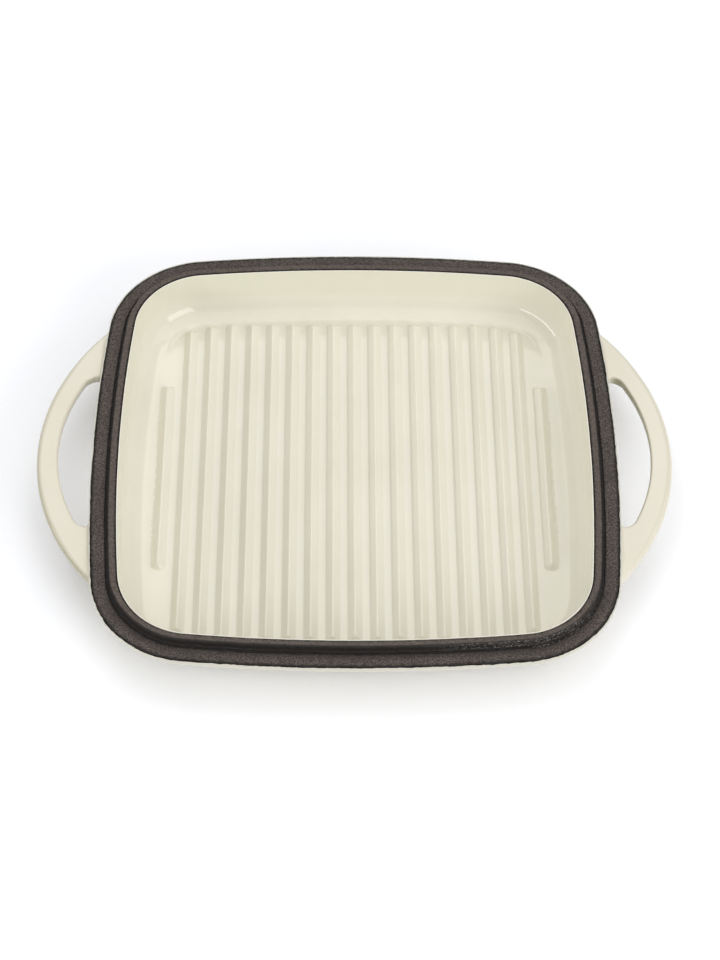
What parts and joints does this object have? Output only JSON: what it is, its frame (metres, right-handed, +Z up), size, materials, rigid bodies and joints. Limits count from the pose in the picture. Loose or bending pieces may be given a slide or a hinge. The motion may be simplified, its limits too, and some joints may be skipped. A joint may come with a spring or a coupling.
{
  "type": "cast iron grill pan",
  "caption": "Shallow square enamelled cast iron grill pan with a ribbed floor, a stepped bare-iron rim and a loop handle on each side, for searing food on a hob or in an oven.",
  "frame": {"origin": "centre of the flat sole, on the surface the pan stands on", "axes": "+X along the line through both handles, +Z up out of the cavity, -Y towards the viewer of the picture, ribs run along Y"},
  "size_m": [0.316, 0.261, 0.0326],
  "materials": {
    "bare_iron": "bare cast iron, dark warm grey, fine grain",
    "interior_enamel": "gloss ivory vitreous enamel",
    "exterior_enamel": "gloss ivory vitreous enamel",
    "base_enamel": "gloss ivory vitreous enamel, lightly dulled",
    "handle_enamel": "gloss ivory vitreous enamel"
  },
  "bodies": {
    "root": {"iron_casting": "bare_iron", "interior_enamel": "interior_enamel", "exterior_enamel": "exterior_enamel", "base_enamel": "base_enamel", "left_handle_enamel": "handle_enamel", "right_handle_enamel": "handle_enamel"}
  },
  "joints": []
}
